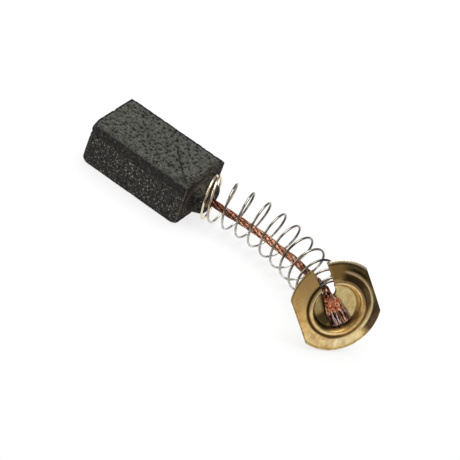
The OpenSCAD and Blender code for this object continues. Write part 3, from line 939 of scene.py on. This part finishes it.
def points_inside(outline):
    """Points over the face that lie well inside an outline."""
    samples = [np.zeros((1, 2))]
    for r in FACE_RADII:
        spacing = SLOPE_SPACING if SLOPE_RING[0] < r < SLOPE_RING[1] else FLAT_SPACING
        a = all_round(int(2 * np.pi * r / spacing))
        samples.append(np.stack([r * np.cos(a), r * np.sin(a)], 1))
    a, b = outline, np.roll(outline, -1, 0)
    rise = np.where(b[:, 1] == a[:, 1], 1e-9, b[:, 1] - a[:, 1])
    kept = []
    for q in np.vstack(samples):
        crossed = (a[:, 1] > q[1]) != (b[:, 1] > q[1])
        x = a[:, 0] + (q[1] - a[:, 1]) * (b[:, 0] - a[:, 0]) / rise
        inside = (crossed & (q[0] < x)).sum() % 2 == 1
        if inside and np.min(norm(outline - q, axis=1)) > 0.06:
            kept.append(q)
    return kept


def formed(flat, drop):
    """Points of the formed sheet over points of the flat one, at a depth below its outer face."""
    off_middle = DISH_MIDDLE * (1 - ramp(norm(flat, axis=1), 4.6, 6.0))[:, None]
    r = norm(flat - off_middle, axis=1)
    slope = (face_height(r + 0.01) - face_height(r - 0.01)) / 0.02
    tilt = 1 / np.sqrt(1 + slope ** 2)
    bearing = np.arctan2(flat[:, 1], flat[:, 0])
    # A low crest on the right of the flange, and a slight wave of the whole disc
    turned = np.degrees(bearing)
    crest = CREST_HEIGHT * ramp(turned, -45, -25) * (1 - ramp(turned, 50, 62)) * bell(r, CREST_RADIUS, 0.09)
    wave = WAVE_HEIGHT * np.sin(2 * bearing + 0.7) * ramp(r, 4.6, 7.0)
    moved = flat + (drop * slope * tilt / np.maximum(r, 1e-6))[:, None] * flat
    return np.column_stack([moved, face_height(r) + crest - drop * tilt + wave])


def terminal_mesh():
    """Points in the terminal's own axes, faces, and how many of the points are on the outer face."""
    outline = terminal_outline()
    count = len(outline)
    edge = np.roll(outline, -1, 0) - np.roll(outline, 1, 0)
    inward = unit(np.stack([-edge[:, 1], edge[:, 0]], 1))
    inner = outline + inward * SOFT_EDGE
    vertices = [Vector(p) for p in [*inner, *points_inside(inner)]]
    edges = [(i, (i + 1) % count) for i in range(count)]
    placed, _, triangles, sources, _, _ = geometry.delaunay_2d_cdt(vertices, edges, [], 1, 1e-6)
    flat = np.array([list(p) for p in placed])
    size = len(flat)
    rank = {source[0]: i for i, source in enumerate(sources)}
    rim = [rank[i] for i in range(count)]
    walls = [formed(outline + inward * inset, drop) for inset, drop in EDGE_LAYERS]
    points = np.vstack([formed(flat, 0.0), formed(flat, SHEET), *walls])
    faces = []
    for tri in triangles:
        p, q, s = (flat[k] for k in tri)
        turn = (q[0] - p[0]) * (s[1] - p[1]) - (q[1] - p[1]) * (s[0] - p[0])
        tri = list(tri) if turn > 0 else list(tri)[::-1]
        faces += [tri, [k + size for k in tri][::-1]]
    loops = [[2 * size + n * count + k for k in range(count)] for n in range(len(walls))]
    loops = [rim, *loops, [k + size for k in rim]]
    for upper, lower in zip(loops[:-1], loops[1:]):
        for k in range(count):
            m = (k + 1) % count
            faces.append([upper[k], lower[k], lower[m], upper[m]])
    return points, faces, size


BRASS = (0.88, 0.6, 0.24)


def stains_and_painted_light(points, world, size):
    """The brass's colour at each point, with its stains and with painted reflections, highlights and shade,
    over zones given by bearing from the across direction and by distance from the disc's middle, rr, or from the
    dish's, rd."""
    u, v = points[:, 0], points[:, 1]
    rr, rd = np.hypot(u, v), np.hypot(u - DISH_MIDDLE[0], v - DISH_MIDDLE[1])
    bearing = np.degrees(np.arctan2(v, u))
    index = np.arange(len(points))
    face, wall = 1.0 * (index < size), 1.0 * (index >= 2 * size)
    soft = surface_noise(world, 1.8, 33)
    blotches = surface_noise(world, 0.8, 35)
    streaks = surface_noise(np.column_stack([bearing / 5.0, rr * 0.5, rr * 0]), 1.0, 91, 2)
    colour = np.tile(BRASS, (len(points), 1))

    def tint(rgb, amount, where=face):
        nonlocal colour
        colour = blended(colour, rgb, np.clip(amount * where, 0, 1))

    def zone(rgb, amount, b0, b1, r0, r1, edge_b=8.0, edge_r=0.15, r=rr, where=face):
        """Tint between two bearings and two distances, fading over the edges."""
        middle, half = (b0 + b1) / 2, (b1 - b0) / 2
        off = np.abs((bearing - middle + 180) % 360 - 180) + 2.5 * soft
        tint(rgb, amount * (1 - ramp(off, half - edge_b, half + edge_b)) * ramp(r, r0 - edge_r, r0 + edge_r)
             * (1 - ramp(r, r1 - edge_r, r1 + edge_r)), where)

    # The cut edge: dulled all round, with a painted highlight along the top and painted shade in the slot
    tint((0.42, 0.3, 0.12), 1.0, wall)
    zone((1.0, 0.92, 0.68), 1.0, 24, 88, 6.4, 7.6, 4, where=wall)
    zone((0.5, 0.42, 0.2), 1.0, -170, -60, 6.4, 7.6, where=wall)
    tint((0.14, 0.09, 0.04), (np.abs(u - SLOT_OFFSET) < SLOT_WIDTH / 2 + 0.3) * (v > 1), wall)
    # The flange's lower left, pale with a painted reflection and a painted highlight, with streaks and brown
    # blotches
    zone((0.9, 0.7, 0.34), 0.9, -158, -64, 4.8, 7.2, 14)
    zone((1.0, 0.9, 0.58), 0.7 * ramp(soft, -0.5, 0.3), -130, -70, 5.2, 6.3, 12, 0.3)
    zone((0.42, 0.3, 0.12), 0.28 * ramp(streaks, 0.0, 0.7), -175, -60, 4.6, 7.2, 6)
    zone((0.48, 0.24, 0.09), 0.6 * ramp(blotches, -0.1, 0.35), -152, -112, 5.0, 6.9, 8, 0.3)
    # The flange's right, dark beside bright lines: painted dark reflections and painted highlights
    zone((0.5, 0.38, 0.16), 0.8, -62, -20, 4.7, 5.7, 10)
    zone((0.045, 0.026, 0.022), 0.92 + 0.25 * soft, -63, -22, 5.6, 7.2, 7)
    zone((0.95, 0.86, 0.56), 0.6 * ramp(soft, -0.4, 0.2), -66, -20, 5.25, 5.55, 7, 0.1)
    zone((0.46, 0.28, 0.095), 0.85, 58, 82, 4.3, 7.2, 4)
    zone((0.085, 0.055, 0.03), 0.86 + 0.3 * soft, -28, 61, 4.25, 5.28, 7, 0.1)
    zone((0.045, 0.025, 0.014), 0.75, 12, 56, 4.3, 5.1, 7)
    zone((0.062, 0.052, 0.022), 0.88 + 0.3 * soft, -34, 60, 5.56, 7.2, 7, 0.08)
    zone((0.02, 0.022, 0.012), 0.85, 20, 50, 5.58, 6.1, 6, 0.08)
    zone((0.78, 0.72, 0.52), 0.75 + 0.5 * soft, -30, 58, 5.26, 5.52, 5, 0.05)
    # The rim: painted highlights along its top and lower left, beside dark lines, and painted shade along its
    # left edge
    zone((0.1, 0.075, 0.025), 0.8, 34, 84, 6.5, 6.74, 5, 0.05)
    zone((1.0, 0.95, 0.78), 1.0, 28, 86, 6.76, 7.3, 4, 0.04)
    tint((0.11, 0.07, 0.028), 0.8 * ((u < -5.84) + (rr > 6.9) * (bearing > 100)))
    zone((0.26, 0.22, 0.085), 0.6, -165, -60, 6.62, 6.9, 12, 0.08)
    zone((1.0, 0.92, 0.62), 0.7, -165, -60, 6.92, 7.3, 12, 0.05)
    # The line where the bead meets the flange, darkened as painted shade in the crease
    zone((0.055, 0.032, 0.012), 0.97, 100, 264, 4.24, 4.72, 8, 0.1, rd)
    zone((0.11, 0.06, 0.02), 0.88, -130, -20, 4.36, 4.86, 8, 0.12, rd)
    zone((0.06, 0.035, 0.02), 0.9, -20, 62, 4.22, 4.5, 8, 0.08, rd)
    # The bead, with painted highlights on its crest
    zone((0.52, 0.33, 0.12), 0.7, -64, 78, 3.95, 4.25, 8, 0.1, rd)
    zone((1.0, 0.9, 0.58), 0.9, 0, 78, 3.62, 3.95, 10, 0.08, rd)
    zone((1.0, 0.9, 0.6), 0.85, 98, 256, 3.8, 4.02, 10, 0.06, rd)
    zone((0.3, 0.23, 0.09), 0.7, 98, 180, 3.4, 3.78, 10, 0.06, rd)
    zone((0.55, 0.4, 0.16), 0.5, -80, 0, 3.6, 4.3, 10, 0.1, rd)
    # The foot of the wall, darkened as painted shade, and the floor of the dish, with a painted bright
    # reflection and painted shadow beside the fan
    zone((0.4, 0.27, 0.09), 0.85, -150, -40, 3.3, 3.8, 12, 0.08, rd)
    zone((0.15, 0.085, 0.025), 0.85, -180, 180, 3.18, 3.36, 1, 0.06, rd)
    zone((0.03, 0.018, 0.01), 0.85, 180, 300, 3.1, 3.5, 12, 0.08, rd)
    zone((1.0, 0.84, 0.42), 0.85, -64, 84, -1, 3.12, 10, 0.05, rd)
    zone((0.44, 0.4, 0.2), 0.7, 120, 186, 1.2, 3.12, 8, 0.05, rd)
    zone((0.035, 0.036, 0.016), 0.92, 184, 232, 1.2, 3.12, 8, 0.05, rd)
    # The floor beside and under the fan, with painted shadow near it
    left_of_fan = np.clip((np.interp(v, FAN_V, FAN_LEFT) - u) / 0.5, 0, 1)
    right_of_fan = np.clip((u - np.interp(v, FAN_V, FAN_RIGHT)) / 0.3, 0, 1)
    tint((0.035, 0.03, 0.015), 0.9 * (u < -0.5) * (rd < 3.15) * (v < 2.0) * (1 - left_of_fan))
    tint((0.1, 0.055, 0.03), 0.85 * (u > -0.5) * (rd < 3.15) * (v < 1.0) * (1 - right_of_fan))
    return colour


def build_terminal():
    points, faces, size = terminal_mesh()
    world = on_terminal(points)
    obj = new_mesh("terminal_disc", world, faces, brass_material())
    # Stains, with painted reflections, highlights and shade
    paint(obj, "stains_and_painted_light", stains_and_painted_light(points, world, size))
    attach(obj, "terminal")
    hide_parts("terminal_plate")


build_terminal()


# ---- Floor, surroundings and lamps
FLOOR_HALF, FLOOR_GAP = 1600, 0.03
FLOOR_GREY = (0.86, 0.86, 0.86)
# The share of the floor's own glow that the camera sees, also in mirrors and through the part's gaps
FLOOR_GLOW = 0.8
SKY_LOW, SKY_HIGH, SKY_TOP, SKY_STRENGTH = 0.14, 0.95, 0.85, 0.58


def build_floor():
    material = bpy.data.materials.new("pale_floor")
    material.use_nodes = True
    tree = material.node_tree
    tree.nodes.clear()
    rays = add_node(tree, "ShaderNodeLightPath").outputs
    share = rays["Is Camera Ray"]
    for how, other in (("MAXIMUM", rays["Is Glossy Ray"]), ("MAXIMUM", rays["Is Transmission Ray"]),
                       ("MULTIPLY", FLOOR_GLOW)):
        share = add_node(tree, "ShaderNodeMath", {0: share, 1: other}, operation=how).outputs[0]
    plain = add_node(tree, "ShaderNodeBsdfDiffuse", {"Color": (*FLOOR_GREY, 1)}).outputs[0]
    glow = add_node(tree, "ShaderNodeEmission", {"Color": (1, 1, 1, 1)}).outputs[0]
    both = add_node(tree, "ShaderNodeMixShader", {0: share, 1: plain, 2: glow}).outputs[0]
    add_node(tree, "ShaderNodeOutputMaterial", {"Surface": both})
    z = -HALF_HEIGHT - FLOOR_GAP
    corners = [(x * FLOOR_HALF, y * FLOOR_HALF, z) for x, y in ((-1, -1), (1, -1), (1, 1), (-1, 1))]
    floor_obj = new_mesh("floor", corners, [(0, 1, 2, 3)], material)


def build_surroundings():
    """A sky that is darker at the horizon than overhead."""
    world = bpy.data.worlds.new("surroundings")
    bpy.context.scene.world = world
    world.use_nodes = True
    tree = world.node_tree
    directions = add_node(tree, "ShaderNodeTexCoord").outputs["Generated"]
    upward = add_node(tree, "ShaderNodeSeparateXYZ", {0: directions}).outputs["Z"]
    inputs = {"Value": upward, "From Max": SKY_TOP, "To Min": SKY_LOW, "To Max": SKY_HIGH}
    background = tree.nodes["Background"]
    tree.links.new(add_node(tree, "ShaderNodeMapRange", inputs).outputs["Result"], background.inputs["Color"])
    background.inputs["Strength"].default_value = SKY_STRENGTH


def lamp(name, place, aim, side, watts):
    data = bpy.data.lights.new(name, "AREA")
    data.shape = "RECTANGLE"
    data.size = data.size_y = side * MM
    data.energy = watts
    obj = new_object(name, data)
    obj.location = Vector(place) * MM
    obj.rotation_euler = (Vector(aim) - Vector(place)).to_track_quat("-Z", "Y").to_euler()


build_floor()
build_surroundings()
lamp("overhead", (0, 80, 320), (26, 0, 0), 260, 1.1)
lamp("side", (-260, -180, 160), (26, 0, 0), 200, 0.35)
